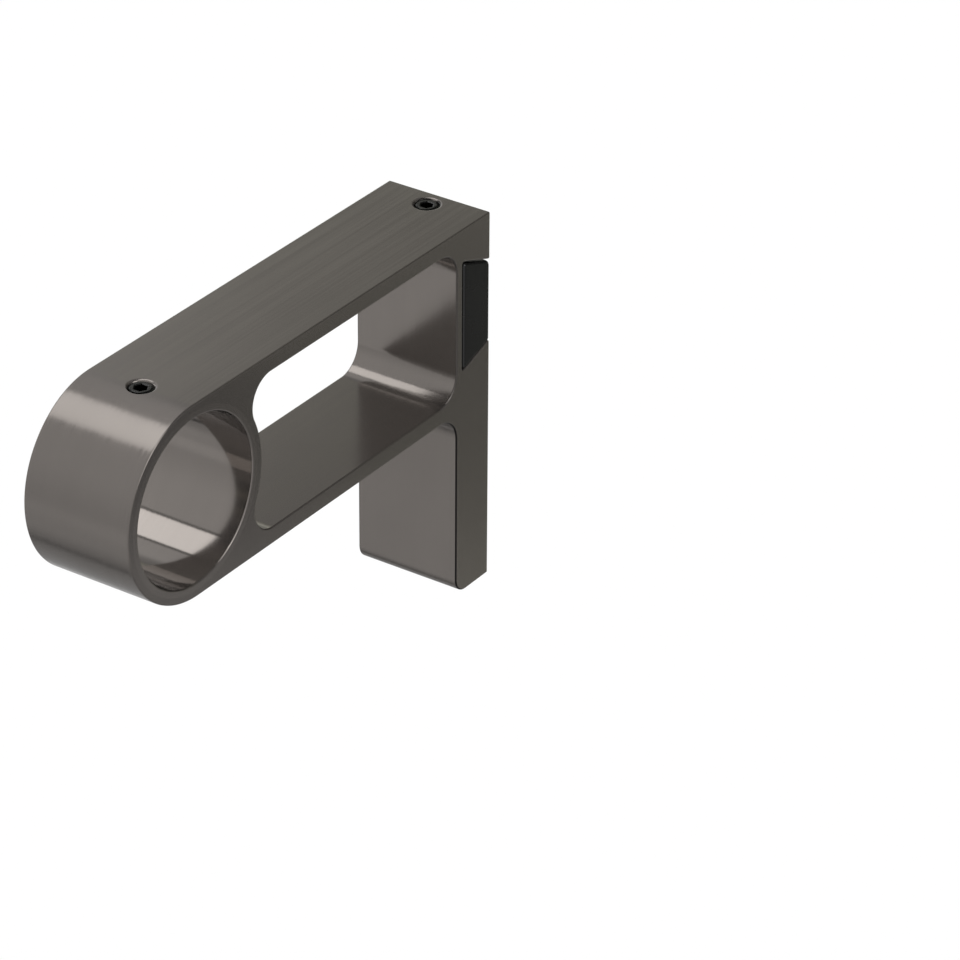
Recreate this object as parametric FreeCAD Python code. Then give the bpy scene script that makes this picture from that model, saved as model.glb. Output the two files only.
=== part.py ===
"""Curtain pole bracket: a side-on aluminium extrusion that slides over a dovetail plate on the wall.

Millimetres. X runs along the pole, +Y points into the wall and +Z is up.
The origin lies on the wall, level with the pole's axis and midway between the two wall screws.
"""
import os
from math import radians, sin, cos, tan, sqrt

import FreeCAD, Part
from FreeCAD import Vector

# Ring that holds the pole
bore_r = 14.25           # takes a 28 mm pole with 0.25 mm to spare all round
ring_wall = 2.45
projection = 78.8        # from the wall to the pole's axis

# Arm: two flat bars joined to the ring and to the back
bracket_width = 20.0     # length cut from the extrusion, along the pole
bar_thickness = 2.95
slot_fillet = 4.7        # where the bars run into the ring and the back
underarm_fillet = 4.7

# Back, which bears on the wall
back_thickness = 9.4
back_drop = 51.4         # from the pole's axis down to the foot
foot_radius = 2.9
corner_radius = 0.3      # the other corners of the profile
edge_break = 0.12        # along both sawn ends

# Dovetail recess in the back
recess_depth = 7.8
recess_top = 8.07        # height of its upper lip at the wall
recess_bottom = -6.73    # height of its lower lip at the wall
dovetail_angle = 19.0    # of both flanks, from the level
recess_corner = 0.4

# Wall plate inside the recess, resting on the lower flank
plate_front_gap = 0.4    # to the recess's front wall
plate_play = 0.28        # drop from the upper flank of the recess to that of the plate
plate_nose_radius = 1.2  # upper edge on the wall side
plate_corner = 0.5
plate_edge_break = 0.35
fixing_spacing = 10.0    # between the two wall screws, along X
fixing_hole_r = 2.1
countersink_r = 4.0

# Grub screws, M4, with the threads drawn at their outer size
screw_r = 2.0
thread_clearance = 0.05
hole_chamfer = 0.25
screw_recess = 0.15      # below the top of the arm
screw_end_chamfer = 0.35
socket_flats = 2.0
pole_screw_reach = 0.2   # past the wall of the bore
pole_socket_depth = 1.3
flat_point_r = 1.25
wall_screw_setback = 3.65  # from the wall to its axis
wall_socket_depth = 2.2
cone_tip_r = 0.2
cone_angle = 45.0        # half angle of the point
tip_clearance = 0.05     # above the plate

ring_r = bore_r + ring_wall
slot_half = ring_r - bar_thickness
half_width = bracket_width / 2
flank = tan(radians(dovetail_angle))
screw_top = ring_r - screw_recess
hole_r = screw_r + thread_clearance


def at(y, z):
    """A point of the profile, in the middle of the bracket."""
    return Vector(0, y, z)


def arc(centre, radius, start, end):
    """The shorter arc about centre from start to end."""
    middle = (start + end) * 0.5 - centre
    return Part.Arc(start, centre + middle.normalize() * radius, end).toShape()


def rounded_wire(corners):
    """A closed outline through corners (y, z, radius), each rounded to its radius."""
    edges, joints = [], []
    for i, (y, z, radius) in enumerate(corners):
        here, last, following = at(y, z), corners[i - 1], corners[(i + 1) % len(corners)]
        back = (at(*last[:2]) - here).normalize()
        ahead = (at(*following[:2]) - here).normalize()
        half_turn = back.getAngle(ahead) / 2
        reach = radius / tan(half_turn)
        start, end = here + back * reach, here + ahead * reach
        centre = here + (back + ahead).normalize() * (radius / sin(half_turn))
        edges.append(arc(centre, radius, start, end))
        joints.append((start, end))
    for i, (start, end) in enumerate(joints):
        before = joints[i - 1][1]
        if (start - before).Length > 1e-6:
            edges.append(Part.LineSegment(before, start).toShape())
    return Part.Wire(Part.__sortEdges__(edges))


def extruded(wire, width):
    """The outline's face, drawn out evenly to both sides of the middle."""
    face = Part.Face(wire)
    face.translate(Vector(-width / 2, 0, 0))
    return face.extrude(Vector(width, 0, 0))


def end_edges(solid, x):
    """The edges that lie in the sawn ends at +x and -x."""
    return [e for e in solid.Edges if e.BoundBox.XMax - e.BoundBox.XMin < 1e-6
            and abs(abs(e.BoundBox.XMax) - x) < 1e-6]


def upper_flank(y):
    """Height of the recess's upper flank at y."""
    return recess_top - flank * y


def lower_flank(y):
    """Height of the recess's lower flank at y."""
    return recess_bottom + flank * y


def outer_outline():
    ring_front = -projection - ring_r
    return rounded_wire([
        (ring_front, ring_r, ring_r),
        (0, ring_r, corner_radius),
        (0, recess_top, corner_radius),
        (-recess_depth, upper_flank(-recess_depth), recess_corner),
        (-recess_depth, lower_flank(-recess_depth), recess_corner),
        (0, recess_bottom, corner_radius),
        (0, -back_drop, corner_radius),
        (-back_thickness, -back_drop, foot_radius),
        (-back_thickness, -ring_r, underarm_fillet),
        (ring_front, -ring_r, ring_r),
    ])


def slot_outline():
    """The slot between the bars. The ring's own curve closes its front end."""
    pole = at(-projection, 0)
    rise = slot_half - slot_fillet
    front = -projection + sqrt((ring_r + slot_fillet) ** 2 - rise ** 2)
    back = -back_thickness
    edges = []
    meets_ring = {}
    for side in (1, -1):
        at_ring, at_back = at(front, side * rise), at(back - slot_fillet, side * rise)
        touch = pole + (at_ring - pole).normalize() * ring_r
        meets_ring[side] = touch
        edges.append(arc(at_ring, slot_fillet, touch, at(front, side * slot_half)))
        edges.append(Part.LineSegment(at(front, side * slot_half),
                                      at(back - slot_fillet, side * slot_half)).toShape())
        edges.append(arc(at_back, slot_fillet, at(back - slot_fillet, side * slot_half),
                         at(back, side * rise)))
    edges.append(Part.LineSegment(at(back, rise), at(back, -rise)).toShape())
    edges.append(arc(pole, ring_r, meets_ring[1], meets_ring[-1]))
    return Part.Wire(Part.__sortEdges__(edges))


def screw_hole(y):
    """A threaded hole through the top of the arm, with a chamfered mouth."""
    shaft = Part.makeCylinder(hole_r, ring_r, at(y, 0))
    mouth = Part.makeCone(hole_r, hole_r + 2 * hole_chamfer, 2 * hole_chamfer,
                          at(y, ring_r - hole_chamfer))
    return shaft.fuse(mouth)


def bracket_body():
    bore = Part.Wire(Part.makeCircle(bore_r, at(-projection, 0), Vector(1, 0, 0)))
    body = extruded(outer_outline(), bracket_width)
    body = body.cut([extruded(bore, bracket_width), extruded(slot_outline(), bracket_width)])
    body = body.makeChamfer(edge_break, end_edges(body, half_width))
    return body.cut([screw_hole(-projection), screw_hole(-wall_screw_setback)])


def plate_top(y):
    """Height of the plate's upper flank at y."""
    return upper_flank(y) - plate_play


def wall_plate():
    front, back = -recess_depth + plate_front_gap, 0
    section = rounded_wire([
        (front, plate_top(front), plate_corner),
        (back, plate_top(back), plate_nose_radius),
        (back, lower_flank(back), plate_corner),
        (front, lower_flank(front), plate_corner),
    ])
    plate = extruded(section, bracket_width)
    plate = plate.makeChamfer(plate_edge_break, end_edges(plate, half_width))
    thickness = back - front
    sink_depth = countersink_r - fixing_hole_r
    holes = []
    for x in (-fixing_spacing / 2, fixing_spacing / 2):
        start = Vector(x, front, 0)
        holes.append(Part.makeCylinder(fixing_hole_r, thickness, start, Vector(0, 1, 0)))
        holes.append(Part.makeCone(countersink_r, fixing_hole_r, sink_depth, start, Vector(0, 1, 0)))
    return plate.cut(holes)


def grub_screw(y, bottom, point_r, point_height, socket_depth):
    """A headless screw with a hexagon socket, standing on its point."""
    outline = [(0, bottom), (point_r, bottom), (screw_r, bottom + point_height),
               (screw_r, screw_top - screw_end_chamfer),
               (screw_r - screw_end_chamfer, screw_top), (0, screw_top), (0, bottom)]
    section = Part.Face(Part.makePolygon([Vector(r, 0, z) for r, z in outline]))
    blank = section.revolve(Vector(0, 0, 0), Vector(0, 0, 1), 360)
    corner = socket_flats / 2 / cos(radians(30))
    turns = [radians(60 * i) for i in range(7)]
    rim = [Vector(corner * cos(a), corner * sin(a), screw_top) for a in turns]
    socket = Part.Face(Part.makePolygon(rim)).extrude(Vector(0, 0, -socket_depth))
    screw = blank.cut(socket)
    screw.translate(Vector(0, y, 0))
    return screw


def pole_screw():
    bottom = bore_r - pole_screw_reach
    return grub_screw(-projection, bottom, flat_point_r, screw_r - flat_point_r, pole_socket_depth)


def wall_screw():
    """Its cone point bears on the sloping top of the plate and draws the bracket to the wall."""
    highest = plate_top(-wall_screw_setback - cone_tip_r)
    cone_height = (screw_r - cone_tip_r) / tan(radians(cone_angle))
    return grub_screw(-wall_screw_setback, highest + tip_clearance, cone_tip_r, cone_height,
                      wall_socket_depth)


def export(name, shape):
    solid = shape.Solids[0]
    solid.exportStep("parts/" + name + ".step")
    size = solid.BoundBox
    print(name, "solids", len(shape.Solids), "valid", solid.isValid(), "volume", round(solid.Volume, 1),
          "box", [round(v, 2) for v in (size.XMin, size.XMax, size.YMin, size.YMax, size.ZMin, size.ZMax)])


os.makedirs("parts", exist_ok=True)
export("bracket_body", bracket_body())
export("wall_plate", wall_plate())
export("pole_screw", pole_screw())
export("wall_screw", wall_screw())
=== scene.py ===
"""Curtain pole bracket in brushed gunmetal, with its black wall plate and its two grub screws.

Metres, in the frame of the CAD model: X along the pole, +Y into the wall, +Z up.
The origin lies on the wall, level with the pole's axis and midway between the two wall screws.
"""

from math import ceil, cos, pi, radians, sin, sqrt, tan

import bpy
from bpy.props import FloatProperty, FloatVectorProperty, PointerProperty
from mathutils import Matrix, Vector


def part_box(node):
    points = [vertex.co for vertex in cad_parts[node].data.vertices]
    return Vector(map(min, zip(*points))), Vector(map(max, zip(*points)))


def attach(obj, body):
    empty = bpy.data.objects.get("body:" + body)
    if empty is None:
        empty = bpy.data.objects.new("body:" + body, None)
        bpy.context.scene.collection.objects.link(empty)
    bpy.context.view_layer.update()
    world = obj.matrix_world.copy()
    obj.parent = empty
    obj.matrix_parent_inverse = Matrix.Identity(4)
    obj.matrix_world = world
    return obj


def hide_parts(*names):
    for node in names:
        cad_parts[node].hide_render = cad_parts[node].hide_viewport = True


bl_info = {
    "name": "Curtain pole bracket",
    "version": (1, 0, 0),
    "blender": (4, 5, 0),
    "location": "3D View > Sidebar > Curtain bracket",
    "description": "Makes a ring bracket for a curtain pole, with its wall plate and grub screws",
    "category": "Object",
}

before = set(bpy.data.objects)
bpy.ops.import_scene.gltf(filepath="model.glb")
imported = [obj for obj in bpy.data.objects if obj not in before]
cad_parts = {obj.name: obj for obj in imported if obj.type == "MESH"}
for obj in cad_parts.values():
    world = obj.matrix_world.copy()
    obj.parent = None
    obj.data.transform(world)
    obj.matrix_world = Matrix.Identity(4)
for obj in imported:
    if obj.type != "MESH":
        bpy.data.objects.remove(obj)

MM = 0.001
SMOOTH_ANGLE = radians(32)
THREAD_SMOOTH_ANGLE = radians(25)
ARC_STEPS = 12              # for one radian of an arc with a radius of 1 mm
FLAT_ON = 0.999             # how square a face stands to an axis that it faces
SAME_POINT = 0.001 * MM     # points that lie closer than this are one
CUTTER_SLACK = 2 * MM       # how far a cutting tool stands out past the face that it cuts
BORE_SIDES = 288
SCREW_SIDES = 96
THREAD_SIDES = 48
FIXING_SIDES = 72


def length(name, description, default, lowest=0.0):
    """A size in metres that the sidebar shows with its unit."""
    return FloatProperty(name=name, description=description, default=default, min=lowest,
                         precision=5, subtype="DISTANCE", unit="LENGTH")


def tint(name, description, default):
    """A linear colour."""
    return FloatVectorProperty(name=name, description=description, default=default, size=3,
                               min=0.0, max=1.0, subtype="COLOR")


def share(name, description, default):
    """A number between nothing and all."""
    return FloatProperty(name=name, description=description, default=default, min=0.0, max=1.0,
                         subtype="FACTOR")


class BracketSizes(bpy.types.PropertyGroup):
    """Sizes of the extrusion: ring, arm, back and dovetail recess"""
    width: length("Width", "Length sawn from the extrusion, along the pole", 20 * MM)
    bore_radius: length("Bore radius", "Takes a 28 mm pole with a little to spare", 14.25 * MM)
    ring_wall: length("Ring wall", "Thickness of the ring", 2.45 * MM)
    projection: length("Projection", "From the wall to the pole's axis", 78.8 * MM)
    bar_thickness: length("Bar thickness", "Of the upper and the lower bar of the arm", 2.95 * MM)
    slot_fillet: length("Slot fillet", "Where the bars run into the ring and the back", 4.7 * MM)
    underarm_fillet: length("Underarm fillet", "Where the lower bar runs into the back", 4.7 * MM)
    back_thickness: length("Back thickness", "Of the part that bears on the wall", 9.4 * MM)
    back_drop: length("Back drop", "From the pole's axis down to the foot", 51.4 * MM)
    foot_radius: length("Foot radius", "Round at the front of the foot", 2.9 * MM)
    corner_radius: length("Corner radius", "The other corners of the profile", 0.3 * MM)
    edge_round: length("Edge round", "Taken off along both sawn ends", 0.27 * MM)
    recess_depth: length("Recess depth", "Of the dovetail, from the wall", 7.8 * MM)
    recess_top: length("Recess top", "Height of the upper lip at the wall", 8.07 * MM)
    recess_bottom: length("Recess bottom", "Height of the lower lip at the wall", -6.73 * MM, -1.0)
    recess_corner: length("Recess corner", "Round in the inner corners of the dovetail", 0.4 * MM)
    flank_angle: FloatProperty(name="Flank angle", default=radians(19), subtype="ANGLE",
                               description="Of the dovetail's flanks, from the level",
                               unit="ROTATION")


class PlateSizes(bpy.types.PropertyGroup):
    """Sizes of the plate that is screwed to the wall"""
    front_gap: length("Front gap", "To the front wall of the recess", 0.4 * MM)
    play: length("Play", "From the upper flank of the recess down to the plate's", 0.28 * MM)
    nose_radius: length("Nose radius", "Round of the upper edge on the wall side", 1.2 * MM)
    corner_radius: length("Corner radius", "Its other long edges", 0.5 * MM)
    edge_round: length("Edge round", "Taken off along both ends", 0.5 * MM)
    hole_spacing: length("Hole spacing", "Between the two wall screws", 10 * MM)
    hole_radius: length("Hole radius", "For the shank of a wall screw", 2.1 * MM)
    sink_radius: length("Countersink radius", "For the head of a wall screw", 4.0 * MM)


class ScrewSizes(bpy.types.PropertyGroup):
    """Sizes of the two M4 grub screws and of their holes"""
    radius: length("Thread radius", "Over the crests", 2.0 * MM)
    pitch: length("Pitch", "From crest to crest", 0.7 * MM)
    thread_depth: length("Thread depth", "From crest to root", 0.4 * MM)
    hole_radius: length("Hole radius", "Of the holes in the arm", 2.05 * MM)
    hole_chamfer: length("Hole chamfer", "Round the mouth of each hole", 0.25 * MM)
    end_chamfer: length("End chamfer", "At the socket end of each screw", 0.35 * MM)
    socket_flats: length("Socket", "Across the flats of the hexagon", 2.0 * MM)
    wall_setback: length("Wall screw setback", "From the wall to its axis", 3.65 * MM)
    pole_socket_depth: length("Pole screw socket", "Depth of the hexagon over the ring", 1.3 * MM)
    wall_socket_depth: length("Wall screw socket", "Depth of the hexagon over the plate", 2.2 * MM)
    pole_point_radius: length("Pole screw point", "Radius of its flat point", 1.25 * MM)
    wall_point_radius: length("Wall screw point", "Radius at the tip of its cone", 0.2 * MM)


class Finishes(bpy.types.PropertyGroup):
    """Colours and gloss of the bracket, the plate and the screws"""
    gunmetal: tint("Gunmetal", "Brushed and dyed aluminium of the bracket", (0.152, 0.138, 0.128))
    brushed_roughness: share("Brushed roughness", "Of the outer faces of the bracket", 0.2)
    inner_roughness: share("Inner roughness", "Of the bore and the sawn ends", 0.085)
    slot_roughness: share("Slot roughness", "Of the walls of the slot", 0.17)
    # Painted light: lightens the colour in the bore, where its reflections are brighter
    painted_bore_light: share("Bore lift", "How much lighter the machined bore is", 0.14)
    # Painted light: lightens the colour of the slot's walls, where light bounces between them
    painted_slot_light: share("Slot lift", "How much lighter the walls of the slot are", 0.14)
    # Painted shade: darkens the colour on the rounds of the back's front edges, to draw a dark
    # line there
    painted_edge_shade: share("Edge darkness", "Of the dye along the front edges of the back", 0.93)
    plate_black: tint("Plate black", "Satin black of the wall plate", (0.0032, 0.0032, 0.0034))
    plate_roughness: share("Plate roughness", "Of the black coat", 0.25)
    plate_gloss: share("Plate gloss", "Specular level of the black coat", 0.15)
    thin_coat_gloss: share("Thin coat gloss", "What the rounds of its ends add to that", 0.35)
    screw_steel: tint("Screw steel", "Blackened steel of the grub screws", (0.027, 0.027, 0.027))
    screw_roughness: share("Screw roughness", "Of the blackened steel", 0.25)


class StudioSettings(bpy.types.PropertyGroup):
    """Camera, floor and soft light"""
    lens: FloatProperty(name="Lens", description="Focal length in millimetres on a 36 mm sensor",
                        default=175.63, min=1.0)
    floor_drop: length("Floor drop", "From the pole's axis down to the floor", 0.60)
    strip_strength: FloatProperty(name="Strip light", default=3.0, min=0.0,
                                  description="Brightness of the strip, white being 1")


def settings():
    return bpy.context.scene.curtain_bracket


# Drawing an outline, as by hand: one point is drawn on by extruding it and turned by spinning it

def begin_outline(name, start):
    """A new object with one point, selected, in edit mode."""
    bpy.ops.object.select_all(action="DESELECT")
    bpy.ops.mesh.primitive_plane_add(size=MM, location=start)
    bpy.ops.object.transform_apply(location=True, rotation=True, scale=True)
    bpy.context.object.name = name
    bpy.ops.object.mode_set(mode="EDIT")
    bpy.ops.mesh.select_mode(type="VERT")
    bpy.ops.mesh.select_all(action="SELECT")
    bpy.ops.mesh.merge(type="CENTER")
    return bpy.context.object


def line(start, end):
    """Draws on from the selected point, straight."""
    if (end - start).length > SAME_POINT / 10:
        bpy.ops.mesh.extrude_vertices_move(TRANSFORM_OT_translate={"value": end - start})


def arc(start, end, centre):
    """Draws on from start, which is selected, the shorter way round centre to end."""
    a, b = start - centre, end - centre
    angle = a.angle(b)
    steps = max(4, ceil(angle * ARC_STEPS * sqrt(a.length / MM)))
    if a.cross(b).x > 0:
        angle = -angle      # spin turns left-handed about its axis
    bpy.ops.mesh.spin(steps=steps, angle=angle, center=centre, axis=(1, 0, 0))


def close_outline():
    """Joins the last point to the first and fills the outline with one face."""
    bpy.ops.mesh.select_all(action="SELECT")
    bpy.ops.mesh.remove_doubles(threshold=SAME_POINT)
    bpy.ops.mesh.edge_face_add()


def rounded_outline(name, x, corners):
    """A closed outline at x through corners (y, z, radius), each rounded."""
    rounds = []
    for i, (y, z, radius) in enumerate(corners):
        here = Vector((x, y, z))
        back = (Vector((x, *corners[i - 1][:2])) - here).normalized()
        ahead = (Vector((x, *corners[(i + 1) % len(corners)][:2])) - here).normalized()
        half = back.angle(ahead) / 2
        reach = radius / tan(half)
        centre = here + (back + ahead).normalized() * (radius / sin(half))
        rounds.append((here + back * reach, here + ahead * reach, centre))
    obj = begin_outline(name, rounds[0][0])
    for i, (start, end, centre) in enumerate(rounds):
        arc(start, end, centre)
        line(end, rounds[(i + 1) % len(rounds)][0])
    close_outline()
    return obj


def draw_out(distance):
    """Extrudes the filled outline along X, with its faces outwards, and leaves edit mode."""
    bpy.ops.mesh.select_all(action="SELECT")
    bpy.ops.mesh.extrude_region_move(TRANSFORM_OT_translate={"value": (distance, 0, 0)})
    bpy.ops.mesh.select_all(action="SELECT")
    bpy.ops.mesh.normals_make_consistent(inside=False)
    bpy.ops.object.mode_set(mode="OBJECT")


def activate(obj):
    bpy.ops.object.select_all(action="DESELECT")
    obj.select_set(True)
    bpy.context.view_layer.objects.active = obj


def boolean(obj, tool, operation):
    """Cuts tool from obj, or keeps what they share, and deletes tool."""
    activate(obj)
    bpy.ops.object.modifier_add(type="BOOLEAN")
    modifier = obj.modifiers[-1]
    modifier.operation = operation
    modifier.solver = "EXACT"
    modifier.object = tool
    bpy.ops.object.modifier_apply(modifier=modifier.name)
    bpy.data.objects.remove(tool)


def pick_faces(obj, wanted):
    """Enters edit mode with just the faces selected for which wanted(face) is true."""
    activate(obj)
    bpy.ops.object.mode_set(mode="EDIT")
    bpy.ops.mesh.select_mode(type="FACE")
    bpy.ops.mesh.select_all(action="DESELECT")
    bpy.ops.object.mode_set(mode="OBJECT")
    chosen = [wanted(face) for face in obj.data.polygons]
    obj.data.polygons.foreach_set("select", chosen)
    bpy.ops.object.mode_set(mode="EDIT")
    return sum(chosen)


def round_end(obj, side, radius, steps=3):
    """Rounds the rim of the flat end that faces along side * X, all the way round its outlines."""
    if not pick_faces(obj, lambda face: face.normal.x * side > FLAT_ON):
        raise RuntimeError(f"{obj.name} has no flat end to round")
    for i in range(steps):
        before, after = pi / 2 * i / steps, pi / 2 * (i + 1) / steps
        bpy.ops.mesh.inset(thickness=radius * (cos(before) - cos(after)),
                           depth=radius * (sin(after) - sin(before)))
    bpy.ops.object.mode_set(mode="OBJECT")


def smooth(obj, angle=SMOOTH_ANGLE):
    """Smooth shading up to angle, with flat faces kept flat beside their rounded edges."""
    activate(obj)
    bpy.ops.object.shade_smooth_by_angle(angle=angle)
    bpy.ops.object.modifier_add(type="WEIGHTED_NORMAL")
    modifier = obj.modifiers[-1]
    modifier.keep_sharp = True
    modifier.weight = 100
    bpy.ops.object.modifier_apply(modifier=modifier.name)


def finish_piece(obj, material, body, node):
    """Gives a finished mesh its metal and its body, and hides the CAD node that it stands for."""
    activate(obj)
    bpy.ops.object.transform_apply(location=True, rotation=True, scale=True)
    obj.data.materials.clear()
    obj.data.materials.append(material)
    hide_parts(node)
    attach(obj, body)


# The pieces

def ring_radius(sizes):
    return sizes.bore_radius + sizes.ring_wall


def upper_flank(sizes, y):
    """Height of the recess's upper flank at y."""
    return sizes.recess_top - tan(sizes.flank_angle) * y


def lower_flank(sizes, y):
    """Height of the recess's lower flank at y."""
    return sizes.recess_bottom + tan(sizes.flank_angle) * y


def outer_solid(sizes, start, distance):
    """The profile's outer outline, drawn out: ring end, arm, back and dovetail recess."""
    ring = ring_radius(sizes)
    front, deep = -sizes.projection - ring, -sizes.recess_depth
    obj = rounded_outline("bracket_extrusion", start, [
        (front, ring, ring),
        (0, ring, sizes.corner_radius),
        (0, sizes.recess_top, sizes.corner_radius),
        (deep, upper_flank(sizes, deep), sizes.recess_corner),
        (deep, lower_flank(sizes, deep), sizes.recess_corner),
        (0, sizes.recess_bottom, sizes.corner_radius),
        (0, -sizes.back_drop, sizes.corner_radius),
        (-sizes.back_thickness, -sizes.back_drop, sizes.foot_radius),
        (-sizes.back_thickness, -ring, sizes.underarm_fillet),
        (front, -ring, ring),
    ])
    draw_out(distance)
    return obj


def slot_cutter(sizes, start, distance):
    """The slot between the bars. The ring's own curve closes its front end."""
    ring, fillet = ring_radius(sizes), sizes.slot_fillet
    half = ring - sizes.bar_thickness
    rise = half - fillet
    pole = Vector((start, -sizes.projection, 0))
    front = -sizes.projection + sqrt((ring + fillet) ** 2 - rise ** 2)
    back = -sizes.back_thickness
    upper, lower = Vector((start, front, rise)), Vector((start, front, -rise))
    ring_top = pole + (upper - pole).normalized() * ring
    ring_bottom = pole + (lower - pole).normalized() * ring
    path = [
        (ring_top, Vector((start, front, half)), upper),
        (Vector((start, back - fillet, half)), Vector((start, back, rise)),
         Vector((start, back - fillet, rise))),
        (Vector((start, back, -rise)), Vector((start, back - fillet, -half)),
         Vector((start, back - fillet, -rise))),
        (Vector((start, front, -half)), ring_bottom, lower),
        (ring_bottom, ring_top, pole),
    ]
    obj = begin_outline("slot_cutter", ring_top)
    for i, (first, last, centre) in enumerate(path):
        arc(first, last, centre)
        line(last, path[(i + 1) % len(path)][0])
    close_outline()
    draw_out(distance)
    return obj


def bore_cutter(sizes):
    bpy.ops.object.select_all(action="DESELECT")
    bpy.ops.mesh.primitive_cylinder_add(vertices=BORE_SIDES, radius=sizes.bore_radius,
                                        depth=sizes.width + CUTTER_SLACK,
                                        location=(0, -sizes.projection, 0),
                                        rotation=(0, pi / 2, 0))
    bpy.ops.object.transform_apply(location=True, rotation=True, scale=True)
    return bpy.context.object


# Mouth of a screw hole, in hole chamfers: its depth, and the steps (out, up) that round it.
# The last step ends a little above the face.
MOUTH_DEPTH = 1.9
MOUTH_STEPS = ((0.2, 0.7), (0.35, 0.5), (0.4, 0.32), (0.4, 0.22), (0.35, 0.1), (1, 0.16))


def screw_hole_cutter(sizes, screws, y):
    """A drill whose top is extruded out in steps, which rounds the mouth of the hole."""
    top = ring_radius(sizes)
    over_ring = y < -sizes.projection / 2
    bottom = 0 if over_ring else sizes.recess_top
    straight = top - MOUTH_DEPTH * screws.hole_chamfer - bottom
    bpy.ops.object.select_all(action="DESELECT")
    bpy.ops.mesh.primitive_cylinder_add(vertices=SCREW_SIDES, radius=screws.hole_radius,
                                        depth=straight, location=(0, y, bottom + straight / 2))
    drill = bpy.context.object
    pick_faces(drill, lambda face: face.normal.z > FLAT_ON)
    rim, radius = screws.hole_chamfer, screws.hole_radius
    for out, up in MOUTH_STEPS:
        grow = (radius + out * rim) / radius
        bpy.ops.mesh.extrude_region_move(TRANSFORM_OT_translate={"value": (0, 0, up * rim)})
        bpy.ops.transform.resize(value=(grow, grow, 1), center_override=(0, y, top))
        radius += out * rim
    bpy.ops.object.mode_set(mode="OBJECT")
    return drill


class CURTAINBRACKET_OT_body(bpy.types.Operator):
    """Make the bracket itself, one sawn length of extrusion with two screw holes"""
    bl_idname = "curtain_bracket.body"
    bl_label = "Bracket body"
    bl_options = {"REGISTER", "UNDO"}

    def execute(self, context):
        sizes, screws = settings().bracket, settings().screws
        straight = sizes.width - 2 * sizes.edge_round
        reach = sizes.width + CUTTER_SLACK
        body = outer_solid(sizes, -straight / 2, straight)
        boolean(body, slot_cutter(sizes, -reach / 2, reach), "DIFFERENCE")
        boolean(body, bore_cutter(sizes), "DIFFERENCE")
        for side in (1, -1):
            round_end(body, side, sizes.edge_round)
        for y in (-sizes.projection, -screws.wall_setback):
            boolean(body, screw_hole_cutter(sizes, screws, y), "DIFFERENCE")
        smooth(body)
        finish_piece(body, gunmetal(), "bracket", "bracket_body")
        return {"FINISHED"}


class CURTAINBRACKET_OT_plate(bpy.types.Operator):
    """Make the black dovetail plate with its two countersunk holes"""
    bl_idname = "curtain_bracket.plate"
    bl_label = "Wall plate"
    bl_options = {"REGISTER", "UNDO"}

    def execute(self, context):
        sizes, plate = settings().bracket, settings().plate
        front, back = plate.front_gap - sizes.recess_depth, 0
        straight = sizes.width - 2 * plate.edge_round
        obj = rounded_outline("dovetail_wall_plate", -straight / 2, [
            (front, upper_flank(sizes, front) - plate.play, plate.corner_radius),
            (back, upper_flank(sizes, back) - plate.play, plate.nose_radius),
            (back, lower_flank(sizes, back), plate.corner_radius),
            (front, lower_flank(sizes, front), plate.corner_radius),
        ])
        draw_out(straight)
        for side in (1, -1):
            round_end(obj, side, plate.edge_round)
        for x in (-plate.hole_spacing / 2, plate.hole_spacing / 2):
            boolean(obj, self.countersink(plate, x, front, back), "DIFFERENCE")
        smooth(obj)
        finish_piece(obj, black_coat(), "bracket", "wall_plate")
        return {"FINISHED"}

    def countersink(self, plate, x, front, back):
        """A drill along Y whose front end opens out to a cone."""
        depth = plate.sink_radius - plate.hole_radius
        start, end = front + depth, back + CUTTER_SLACK
        bpy.ops.object.select_all(action="DESELECT")
        bpy.ops.mesh.primitive_cylinder_add(vertices=FIXING_SIDES, radius=plate.hole_radius,
                                            depth=end - start, location=(x, (start + end) / 2, 0),
                                            rotation=(pi / 2, 0, 0))
        bpy.ops.object.transform_apply(location=True, rotation=True, scale=True)
        drill = bpy.context.object
        pick_faces(drill, lambda face: face.normal.y < -FLAT_ON)
        extra = 0.5 * MM
        grow = (plate.sink_radius + extra) / plate.hole_radius
        bpy.ops.mesh.extrude_region_move(TRANSFORM_OT_translate={"value": (0, -depth - extra, 0)})
        bpy.ops.transform.resize(value=(grow, 1, grow), center_override=(x, front, 0))
        bpy.ops.object.mode_set(mode="OBJECT")
        return drill


def threaded_rod(name, screws, low, high):
    """A rod along Z with a real thread, standing out a little past low and high."""
    root, crest = screws.radius - screws.thread_depth, screws.radius
    pitch = screws.pitch
    # One turn in profile: radius, and height in pitches
    outline = [(root, 0), (root, 0.14), (crest, 0.46), (crest, 0.54), (root, 0.86), (root, 1)]
    obj = begin_outline(name, Vector((root, 0, low - 1.5 * pitch)))
    for (r0, z0), (r1, z1) in zip(outline, outline[1:]):
        line(Vector((r0, 0, z0 * pitch)), Vector((r1, 0, z1 * pitch)))
    bpy.ops.object.mode_set(mode="OBJECT")
    bpy.ops.object.modifier_add(type="SCREW")
    modifier = obj.modifiers[-1]
    modifier.steps = modifier.render_steps = THREAD_SIDES
    modifier.screw_offset = pitch
    modifier.iterations = ceil((high - low) / pitch) + 3
    modifier.use_merge_vertices = False
    bpy.ops.object.modifier_apply(modifier=modifier.name)
    bpy.ops.object.mode_set(mode="EDIT")
    bpy.ops.mesh.select_all(action="SELECT")
    bpy.ops.mesh.remove_doubles(threshold=SAME_POINT)
    bpy.ops.mesh.fill_holes(sides=0)
    bpy.ops.mesh.select_all(action="SELECT")
    bpy.ops.mesh.normals_make_consistent(inside=False)
    bpy.ops.object.mode_set(mode="OBJECT")
    return obj


# Shoulder of a screw, in end chamfers: points (inward, down) from its side up to its top
SHOULDER = ((0, 0.9), (0.15, 0.55), (1.1, 0))


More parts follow.
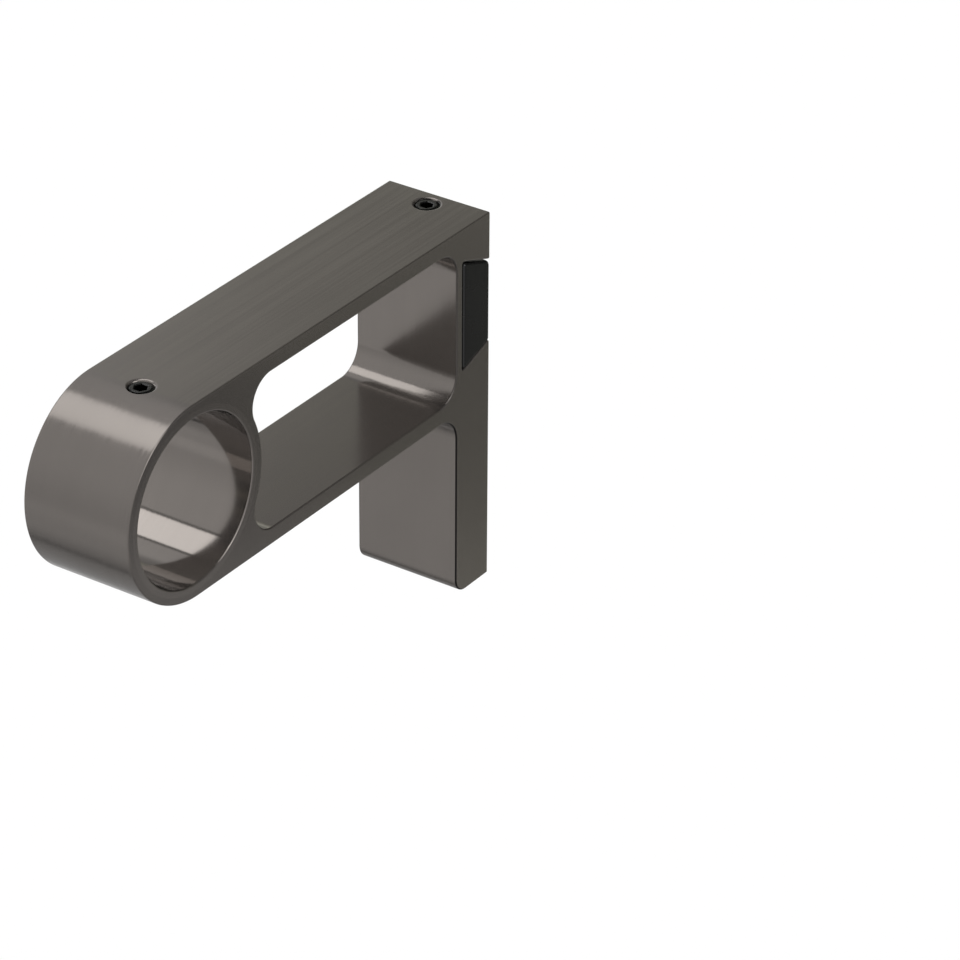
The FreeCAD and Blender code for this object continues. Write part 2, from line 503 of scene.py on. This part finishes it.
def screw_blank(screws, low, high, point_radius, point_height):
    """A plain round bar with the screw's chamfered top and its point, a little over size."""
    slack = 0.06 * MM
    steps = [(point_radius, low), (screws.radius + slack, low + point_height)]
    for inward, down in SHOULDER:
        steps.append((screws.radius + slack - inward * screws.end_chamfer,
                      high - down * screws.end_chamfer))
    bpy.ops.object.select_all(action="DESELECT")
    bpy.ops.mesh.primitive_circle_add(vertices=SCREW_SIDES, radius=steps[0][0], fill_type="NGON",
                                      location=(0, 0, steps[0][1]))
    bpy.ops.object.transform_apply(location=True, rotation=True, scale=True)
    blank = bpy.context.object
    bpy.ops.object.mode_set(mode="EDIT")
    bpy.ops.mesh.select_all(action="SELECT")
    for (r0, z0), (r1, z1) in zip(steps, steps[1:]):
        bpy.ops.mesh.extrude_region_move(TRANSFORM_OT_translate={"value": (0, 0, z1 - z0)})
        bpy.ops.transform.resize(value=(r1 / r0, r1 / r0, 1), center_override=(0, 0, z1))
    bpy.ops.mesh.select_all(action="SELECT")
    bpy.ops.mesh.normals_make_consistent(inside=False)
    bpy.ops.object.mode_set(mode="OBJECT")
    return blank


def hexagon_cutter(screws, high, depth):
    """A hexagon bar with a blunt point, opening out towards the top of the screw."""
    mouth, flare, point = 0.12 * MM, 0.2 * MM, 0.3 * MM
    radius = screws.socket_flats / 2 / cos(pi / 6)
    bpy.ops.object.select_all(action="DESELECT")
    bpy.ops.mesh.primitive_cylinder_add(vertices=6, radius=radius, depth=depth - mouth,
                                        location=(0, 0, high - (depth + mouth) / 2),
                                        rotation=(0, 0, pi / 6))
    bpy.ops.object.transform_apply(location=True, rotation=True, scale=True)
    bar = bpy.context.object
    pick_faces(bar, lambda face: face.normal.z < -FLAT_ON)
    bpy.ops.mesh.extrude_region_move(TRANSFORM_OT_translate={"value": (0, 0, -point)})
    bpy.ops.mesh.merge(type="CENTER")
    bpy.ops.object.mode_set(mode="OBJECT")
    pick_faces(bar, lambda face: face.normal.z > FLAT_ON)
    for step in (1, 2):
        grow = (radius + flare * step) / (radius + flare * (step - 1))
        bpy.ops.mesh.extrude_region_move(TRANSFORM_OT_translate={"value": (0, 0, mouth)})
        bpy.ops.transform.resize(value=(grow, grow, 1), center_override=(0, 0, high))
    bpy.ops.object.mode_set(mode="OBJECT")
    return bar


class CURTAINBRACKET_OT_screws(bpy.types.Operator):
    """Make the two M4 grub screws, threaded, with hexagon sockets"""
    bl_idname = "curtain_bracket.screws"
    bl_label = "Grub screws"
    bl_options = {"REGISTER", "UNDO"}

    def execute(self, context):
        screws = settings().screws
        pole_point = screws.radius - screws.pole_point_radius
        wall_point = screws.radius - screws.wall_point_radius
        self.screw("pole_grub_screw", "pole_screw", screws.pole_socket_depth,
                   screws.pole_point_radius, pole_point)
        self.screw("wall_grub_screw", "wall_screw", screws.wall_socket_depth,
                   screws.wall_point_radius, wall_point)
        return {"FINISHED"}

    def screw(self, name, node, socket_depth, point_radius, point_height):
        """One screw, made on the Z axis and then moved to where the CAD has it."""
        screws = settings().screws
        lowest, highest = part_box(node)
        low, high = lowest.z, highest.z
        obj = threaded_rod(name, screws, low, high)
        boolean(obj, screw_blank(screws, low, high, point_radius, point_height), "INTERSECT")
        boolean(obj, hexagon_cutter(screws, high, socket_depth), "DIFFERENCE")
        activate(obj)
        bpy.ops.transform.translate(value=(0, (lowest.y + highest.y) / 2, 0))
        smooth(obj, THREAD_SMOOTH_ANGLE)
        finish_piece(obj, blackened_steel(), node, node)


# Materials

BRUSH_MARKS = (2300, 22, 22)        # grain along X, Y and Z, in cycles per metre
GUNMETAL_CLOUDS = (55, 45, 45)
COAT_GRAIN = (5000, 5000, 5000)
COAT_CLOUDS = (120, 120, 120)
STEEL_GRAIN = (4000, 4000, 4000)
GRAIN_HEIGHT = 0.02 * MM
BRUSHED_TILT = 0.011                # how far a brush mark tilts the surface
SMOOTHED_TILT = 0.003
SAWN_END = 0.6                      # the X of a normal that counts as on a sawn end
EDGE_LEAN = (-0.05, -0.22)          # X times Y of a normal where the painted edge shade starts and is full
SLOT_RIM_SPARED = 0.45              # share of the painted edge shade that the slot's rim is spared


class Nodes:
    """A node tree that is put together one node at a time."""

    def __init__(self, tree):
        tree.nodes.clear()
        self.tree = tree

    def add(self, kind, values=None, **options):
        """A node of this kind; values sets its sockets, or links them where a socket is given."""
        node = self.tree.nodes.new(kind)
        for key, value in options.items():
            setattr(node, key, value)
        for key, value in (values or {}).items():
            if isinstance(value, bpy.types.NodeSocket):
                self.tree.links.new(value, node.inputs[key])
            else:
                node.inputs[key].default_value = value
        return node

    def math(self, operation, *values, **options):
        """The result of a Math node."""
        return self.add("ShaderNodeMath", dict(enumerate(values)), operation=operation,
                        **options).outputs[0]

    def vector(self, operation, *values):
        """The result of a Vector Math node, a number where the operation gives one."""
        result = "Value" if operation in ("LENGTH", "DOT_PRODUCT") else "Vector"
        return self.add("ShaderNodeVectorMath", dict(enumerate(values)),
                        operation=operation).outputs[result]

    def scaled(self, vector, factor):
        """A vector or a colour, times a varying factor."""
        return self.add("ShaderNodeVectorMath", {0: vector, "Scale": factor},
                        operation="SCALE").outputs[0]

    def axis(self, vector, name):
        """The X, Y or Z of a vector."""
        return self.add("ShaderNodeSeparateXYZ", {0: vector}).outputs[name]

    def mix(self, factor, first, second):
        """Goes from first to second as factor goes from 0 to 1."""
        return self.add("ShaderNodeMix", {"Factor": factor, "A": first, "B": second}).outputs[0]

    def soft_step(self, value, start, end, first=0.0, last=1.0):
        """Runs smoothly from first to last as value goes from start to end."""
        return self.add("ShaderNodeMapRange", {"Value": value, "From Min": start,
                                               "From Max": end, "To Min": first, "To Max": last},
                        interpolation_type="SMOOTHSTEP").outputs[0]

    def noise(self, scale, detail, place):
        """Noise whose grain is drawn out where scale (x, y, z), in cycles per metre, is small."""
        mapping = self.add("ShaderNodeMapping", {"Vector": place, "Scale": scale})
        return self.add("ShaderNodeTexNoise", {"Vector": mapping.outputs[0], "Scale": 1.0,
                                               "Detail": detail}).outputs["Fac"]

    def spread(self, noise, low, high):
        """Takes noise, most of which lies from 0.3 to 0.7, to the range from low to high."""
        return self.add("ShaderNodeMapRange", {"Value": noise, "From Min": 0.3, "From Max": 0.7,
                                               "To Min": low, "To Max": high}).outputs[0]

    def bump(self, height, strength):
        """A normal that follows a fine grain."""
        return self.add("ShaderNodeBump", {"Height": height, "Strength": strength,
                                           "Distance": GRAIN_HEIGHT}).outputs[0]

    def surface(self, values):
        """Closes a material with its one shader."""
        shader = self.add("ShaderNodeBsdfPrincipled", values)
        self.add("ShaderNodeOutputMaterial", {"Surface": shader.outputs[0]})


def new_material(name):
    material = bpy.data.materials.new(name)
    material.use_nodes = True
    return material, Nodes(material.node_tree)


def finish_masks(n, place, normal):
    """1 on the bore, on the slot, on the bore and the sawn ends, and on the rounds of the back's
    front edges, where shade is painted.
    """
    sizes = settings().bracket
    from_axis = n.vector("MULTIPLY_ADD", place, (0, 1, 1), (0, sizes.projection, 0))
    behind = n.axis(from_axis, "Y")
    bore = n.math("LESS_THAN", n.vector("LENGTH", from_axis),
                  sizes.bore_radius + sizes.ring_wall / 2)
    between_bars = n.math("LESS_THAN", n.math("ABSOLUTE", n.axis(from_axis, "Z")),
                          ring_radius(sizes) - sizes.bar_thickness / 2)
    middle = n.math("MULTIPLY", between_bars, n.math("GREATER_THAN", behind, 0.0))
    aside = n.math("ABSOLUTE", n.axis(normal, "X"))
    end = n.math("GREATER_THAN", aside, SAWN_END)
    slot = n.math("MULTIPLY", middle, n.math("SUBTRACT", 1.0, end))
    smoothed = n.math("MAXIMUM", bore, end)
    # Where the shade is painted: the rounds of the back's front edges, chosen by the lean of their
    # normals
    edge = n.soft_step(n.math("MULTIPLY", aside, n.axis(normal, "Y")), *EDGE_LEAN)
    spared = n.math("MULTIPLY_ADD", middle, SLOT_RIM_SPARED, bore)
    edge = n.math("SUBTRACT", edge, spared, use_clamp=True)
    back = n.math("GREATER_THAN", behind, sizes.projection - 2 * sizes.back_thickness)
    return bore, slot, smoothed, n.math("MULTIPLY", edge, back)


def gunmetal():
    """Dyed aluminium. Brush marks run round its outer faces, and each tilts its own way."""
    finish = settings().finish
    material, n = new_material("brushed_gunmetal")
    coordinates = n.add("ShaderNodeTexCoord").outputs
    place = coordinates["Object"]
    bore, slot, smoothed, edge = finish_masks(n, place, coordinates["Normal"])
    marks = n.noise(BRUSH_MARKS, 4, place)
    clouds = n.noise(GUNMETAL_CLOUDS, 2, place)

    brushed = n.spread(marks, finish.brushed_roughness - 0.03, finish.brushed_roughness + 0.03)
    rough = n.mix(slot, brushed, finish.slot_roughness)
    rough = n.mix(smoothed, rough, finish.inner_roughness)

    depth = n.mix(smoothed, BRUSHED_TILT, SMOOTHED_TILT)
    tilt = n.math("MULTIPLY", n.spread(marks, -1.0, 1.0), depth)
    true_normal = n.add("ShaderNodeNewGeometry").outputs["Normal"]
    around = n.vector("CROSS_PRODUCT", true_normal, (1, 0, 0))
    marked = n.vector("NORMALIZE", n.vector("ADD", true_normal, n.scaled(around, tilt)))

    # The clouds are the metal's own tone. On top of them the bore gets painted light
    lift = n.math("MULTIPLY_ADD", bore, finish.painted_bore_light, n.spread(clouds, 0.96, 1.04))
    # Painted light: the slot's walls are lightened
    lift = n.math("MULTIPLY_ADD", slot, finish.painted_slot_light, lift)
    # Painted shade: the rounds of the back's front edges are darkened
    dark = n.math("MULTIPLY_ADD", edge, -finish.painted_edge_shade, 1.0)
    lift = n.math("MULTIPLY", lift, dark)
    lift = n.math("MULTIPLY", lift, n.spread(marks, 0.98, 1.02))

    n.surface({"Base Color": n.scaled(tuple(finish.gunmetal), lift), "Metallic": 0.85,
               "Roughness": rough, "Normal": marked})
    return material


def black_coat():
    """Satin black coat with a faint grain, thinner and so glossier on the rounds of its ends."""
    finish = settings().finish
    material, n = new_material("satin_black_coat")
    coordinates = n.add("ShaderNodeTexCoord").outputs
    grain = n.noise(COAT_GRAIN, 2, coordinates["Object"])
    clouds = n.noise(COAT_CLOUDS, 2, coordinates["Object"])
    aside = n.math("ABSOLUTE", n.axis(coordinates["Normal"], "X"))
    thin = n.math("MULTIPLY", n.soft_step(aside, 0.98, 0.85), n.soft_step(aside, 0.4, 0.65))
    gloss = n.math("MULTIPLY_ADD", thin, finish.thin_coat_gloss, finish.plate_gloss)
    rough = n.spread(clouds, finish.plate_roughness - 0.05, finish.plate_roughness + 0.05)
    colour = n.scaled(tuple(finish.plate_black), n.spread(clouds, 0.85, 1.15))
    n.surface({"Base Color": colour, "Metallic": 0.0, "Roughness": rough,
               "Specular IOR Level": gloss, "Normal": n.bump(grain, 0.1)})
    return material


def blackened_steel():
    """Blackened steel with a fine grain."""
    finish = settings().finish
    material, n = new_material("blackened_steel")
    grain = n.noise(STEEL_GRAIN, 3, n.add("ShaderNodeTexCoord").outputs["Object"])
    rough = n.spread(grain, finish.screw_roughness - 0.06, finish.screw_roughness + 0.08)
    colour = n.scaled(tuple(finish.screw_steel), n.spread(grain, 0.4, 1.7))
    n.surface({"Base Color": colour, "Metallic": 1.0, "Roughness": rough,
               "Normal": n.bump(grain, 0.15)})
    return material


# The stage

CAMERA_PLACE = Vector((0.39054, -0.56152, 0.35726))
CAMERA_RIGHT = Vector((0.82466, 0.56559, 0.00615))
CAMERA_UP = Vector((-0.28671, 0.40862, 0.86650))
SENSOR_WIDTH = 36       # millimetres
FLOOR_SIZE = 12
FLOOR_GLOW = 0.85       # share of plain white in the floor as the camera sees it
# Cards about the bracket: towards, full within and gone beyond (degrees), brightness
CARDS = (
    ((0, 0, -1), 72, 114, 0.82),
    ((0, 0, -1), 38, 50, 0.62),
    ((0.49, 0.72, -0.50), 20, 84, 0.6),
    ((0.578, 0.797, 0.175), 38.5, 41.5, 0.68),
    ((0.544, 0.682, -0.490), 0.6, 2.2, 0.45),
    ((0.494, 0.722, -0.485), 0.8, 2.4, 0.7),
    ((0.208, 0.782, 0.583), 44.2, 46.8, 0.37),
    ((0.08, 0.98, 0.1), 15, 32, 0.3),
    ((-0.32, 0.945, -0.05), 10, 19, 0.25),
    ((0.40, 0.05, 0.915), 14, 20, 0.2),
    ((-0.85, 0, 0.5), 12, 19, 0.2),
    ((-0.44, -0.78, -0.44), 2, 12, 1.25),
)
# Long bands along X: angle from the horizon in front, half width, soft edge, brightness
STRIP_FRAME = (86.0, 0.300, 0.008, 0.35)
LOW_BAND = (-73.0, 0.045, 0.010, 0.3)
STRIP = (86.0, 0.250, 0.012)        # its brightness is the studio's strip_strength
# The light from behind the wall is a little warmer: Y of its direction, and what is added
WARM_BEHIND = (0.675, 0.71)
WARM_SHIFT = (0, 0.005, -0.1)


def camera(studio):
    """A long lens at the photograph's viewing angle."""
    data = bpy.data.cameras.new("camera")
    data.lens = studio.lens
    data.sensor_width = SENSOR_WIDTH
    data.clip_start, data.clip_end = 0.01, 20
    obj = bpy.data.objects.new("camera", data)
    bpy.context.collection.objects.link(obj)
    back = CAMERA_RIGHT.cross(CAMERA_UP).normalized()
    up = back.cross(CAMERA_RIGHT).normalized()
    turned = Matrix((CAMERA_RIGHT.normalized(), up, back)).transposed().to_4x4()
    obj.matrix_world = Matrix.Translation(CAMERA_PLACE) @ turned
    bpy.context.scene.camera = obj


def floor(studio):
    """A plain pale floor, well below the bracket as it hangs on its wall."""
    bpy.ops.object.select_all(action="DESELECT")
    bpy.ops.mesh.primitive_plane_add(size=FLOOR_SIZE, location=(0, 0, -studio.floor_drop))
    obj = bpy.context.object
    obj.name = "floor"
    bpy.ops.object.transform_apply(location=True, rotation=True, scale=True)
    material, n = new_material("pale_floor")
    camera_ray = n.add("ShaderNodeLightPath").outputs["Is Camera Ray"]
    matt = n.add("ShaderNodeBsdfDiffuse", {"Color": (0.9, 0.9, 0.9, 1)})
    white = n.add("ShaderNodeEmission", {"Color": (1, 1, 1, 1), "Strength": 1.0})
    mixed = n.add("ShaderNodeMixShader", {0: n.math("MULTIPLY", camera_ray, FLOOR_GLOW),
                                          1: matt.outputs[0], 2: white.outputs[0]})
    n.add("ShaderNodeOutputMaterial", {"Surface": mixed.outputs[0]})
    obj.data.materials.append(material)
    obj.visible_glossy = False


def card(n, light, towards, direction, inner, outer, brightness):
    """Dims or lifts the light from one direction, with a soft edge from inner to outer degrees."""
    near = n.vector("DOT_PRODUCT", towards, Vector(direction).normalized())
    factor = n.soft_step(near, cos(radians(outer)), cos(radians(inner)), 1.0, brightness)
    return n.math("MULTIPLY", light, factor)


def band(n, light, towards, angle, half_width, soft, brightness):
    """Dims or lifts the light from a long band that runs along X."""
    angle = radians(angle)
    aside = n.math("ABSOLUTE", n.vector("DOT_PRODUCT", towards, (0, sin(angle), cos(angle))))
    extra = n.soft_step(aside, half_width - soft, half_width + soft, brightness - 1, 0.0)
    facing = n.vector("DOT_PRODUCT", towards, (0, -cos(angle), sin(angle)))
    this_side = n.soft_step(facing, 0.0, 0.1)
    return n.math("MULTIPLY", light, n.math("MULTIPLY_ADD", extra, this_side, 1.0))


def surroundings(studio):
    """A white studio with a strip light overhead, in a dark frame, and a few cards."""
    world = bpy.data.worlds.new("white_studio")
    bpy.context.scene.world = world
    world.use_nodes = True
    n = Nodes(world.node_tree)
    towards = n.add("ShaderNodeTexCoord").outputs["Generated"]
    light = 1.0
    for entry in CARDS:
        light = card(n, light, towards, *entry)
    for entry in (STRIP_FRAME, LOW_BAND, (*STRIP, studio.strip_strength / STRIP_FRAME[3])):
        light = band(n, light, towards, *entry)
    warmth = n.soft_step(n.axis(towards, "Y"), *WARM_BEHIND)
    shine = n.scaled(n.vector("MULTIPLY_ADD", warmth, WARM_SHIFT, (1, 1, 1)), light)
    camera_ray = n.add("ShaderNodeLightPath").outputs["Is Camera Ray"]
    shown = n.add("ShaderNodeMix", {"Factor": camera_ray, 6: shine, 7: (1, 1, 1, 1)},
                  data_type="RGBA").outputs[2]
    background = n.add("ShaderNodeBackground", {"Color": shown, "Strength": 1.0})
    n.add("ShaderNodeOutputWorld", {"Surface": background.outputs[0]})


class CURTAINBRACKET_OT_stage(bpy.types.Operator):
    """Make the floor, the white studio, the strip light and the camera"""
    bl_idname = "curtain_bracket.stage"
    bl_label = "Stage"
    bl_options = {"REGISTER", "UNDO"}

    def execute(self, context):
        studio = settings().studio
        floor(studio)
        surroundings(studio)
        camera(studio)
        context.scene.view_settings.view_transform = "Standard"
        return {"FINISHED"}


class CurtainBracket(bpy.types.PropertyGroup):
    """All that a user of the bracket may change"""
    bracket: PointerProperty(type=BracketSizes)
    plate: PointerProperty(type=PlateSizes)
    screws: PointerProperty(type=ScrewSizes)
    finish: PointerProperty(type=Finishes)
    studio: PointerProperty(type=StudioSettings)


class CURTAINBRACKET_PT_panel(bpy.types.Panel):
    """Lists the sizes, the finishes and the pieces"""
    bl_idname = "CURTAINBRACKET_PT_panel"
    bl_label = "Curtain pole bracket"
    bl_space_type = "VIEW_3D"
    bl_region_type = "UI"
    bl_category = "Curtain bracket"

    def draw(self, context):
        groups = context.scene.curtain_bracket
        for label, operator, name in (("Bracket", "body", "bracket"), ("Plate", "plate", "plate"),
                                      ("Screws", "screws", "screws"), ("Finish", None, "finish"),
                                      ("Studio", "stage", "studio")):
            box = self.layout.box()
            box.label(text=label)
            group = getattr(groups, name)
            for key in group.__annotations__:
                box.prop(group, key)
            if operator:
                box.operator("curtain_bracket." + operator)


CLASSES = (BracketSizes, PlateSizes, ScrewSizes, Finishes, StudioSettings, CurtainBracket,
           CURTAINBRACKET_OT_body, CURTAINBRACKET_OT_plate, CURTAINBRACKET_OT_screws,
           CURTAINBRACKET_OT_stage, CURTAINBRACKET_PT_panel)


def register():
    for cls in CLASSES:
        bpy.utils.register_class(cls)
    bpy.types.Scene.curtain_bracket = PointerProperty(type=CurtainBracket)


def unregister():
    del bpy.types.Scene.curtain_bracket
    for cls in reversed(CLASSES):
        bpy.utils.unregister_class(cls)


def main():
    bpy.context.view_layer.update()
    register()
    bpy.ops.curtain_bracket.body()
    bpy.ops.curtain_bracket.plate()
    bpy.ops.curtain_bracket.screws()
    bpy.ops.curtain_bracket.stage()


if __name__ == "__main__":
    main()
